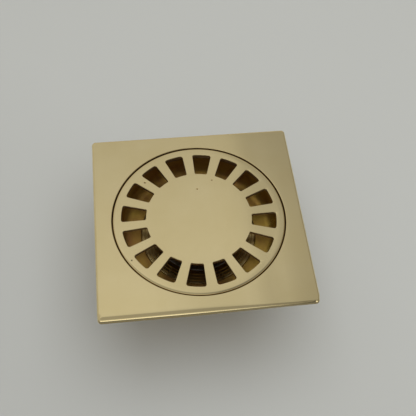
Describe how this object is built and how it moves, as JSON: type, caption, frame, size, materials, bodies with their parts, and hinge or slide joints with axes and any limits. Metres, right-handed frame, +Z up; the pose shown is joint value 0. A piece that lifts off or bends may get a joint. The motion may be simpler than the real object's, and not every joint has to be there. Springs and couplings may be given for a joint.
{
  "type": "floor drain",
  "caption": "Square brass floor drain with a round slotted lift-out grate, hair basket and a spring-closed trap core in its outlet.",
  "frame": {"origin": "centre of the outlet spigot's lower end, which is the lowest point", "axes": "+Z up through the outlet and the grate, +X to the right along the panel's front edge, +Y to its back edge"},
  "size_m": [0.1, 0.1, 0.05],
  "materials": {
    "polished_brass": "polished",
    "satin_brass": "satin, as turned",
    "stainless": "brushed",
    "spring_steel": "drawn wire",
    "black_rubber": "matt",
    "silicone": "matt translucent",
    "nylon": "moulded"
  },
  "bodies": {
    "root": {"panel": "polished_brass", "bowl": "satin_brass", "spigot": "satin_brass"},
    "core": {"core_body": "satin_brass", "upper_o_ring": "black_rubber", "lower_o_ring": "black_rubber", "guide_bridge": "satin_brass", "bridge_circlip": "spring_steel", "guide_bush": "nylon", "valve_spring": "spring_steel"},
    "valve": {"valve_stem": "stainless", "valve_seal": "silicone", "valve_disc": "satin_brass", "clamp_washer": "stainless", "lock_nut": "stainless", "spring_cap": "satin_brass", "cap_nut": "stainless"},
    "basket": {"basket": "stainless"},
    "bail": {"basket_bail": "stainless"},
    "seat_ring": {"grate_ring": "black_rubber"},
    "grate": {"grate": "polished_brass"}
  },
  "joints": [
    {"name": "core_lift", "type": "slide", "parent": "root", "child": "core", "axis": [0, 0, 1], "range_m": [0, 0.04]},
    {"name": "valve_travel", "type": "slide", "parent": "core", "child": "valve", "axis": [0, 0, -1], "range_m": [0, 0.0045], "stiffness_N_per_m": 180, "springref_m": -0.002, "deforming": ["valve_spring"]},
    {"name": "basket_lift", "type": "slide", "parent": "core", "child": "basket", "axis": [0, 0, 1], "range_m": [0, 0.03]},
    {"name": "bail_fold", "type": "hinge", "parent": "basket", "child": "bail", "pos_m": [0, 0, 0.0363], "axis": [1, 0, 0], "range_deg": [0, 180]},
    {"name": "grate_lift", "type": "slide", "parent": "basket", "child": "seat_ring", "axis": [0, 0, 1], "range_m": [0, 0.03]},
    {"name": "grate_turn", "type": "hinge", "parent": "seat_ring", "child": "grate", "pos_m": [0, 0, 0.047], "axis": [0, 0, 1], "continuous": true}
  ]
}
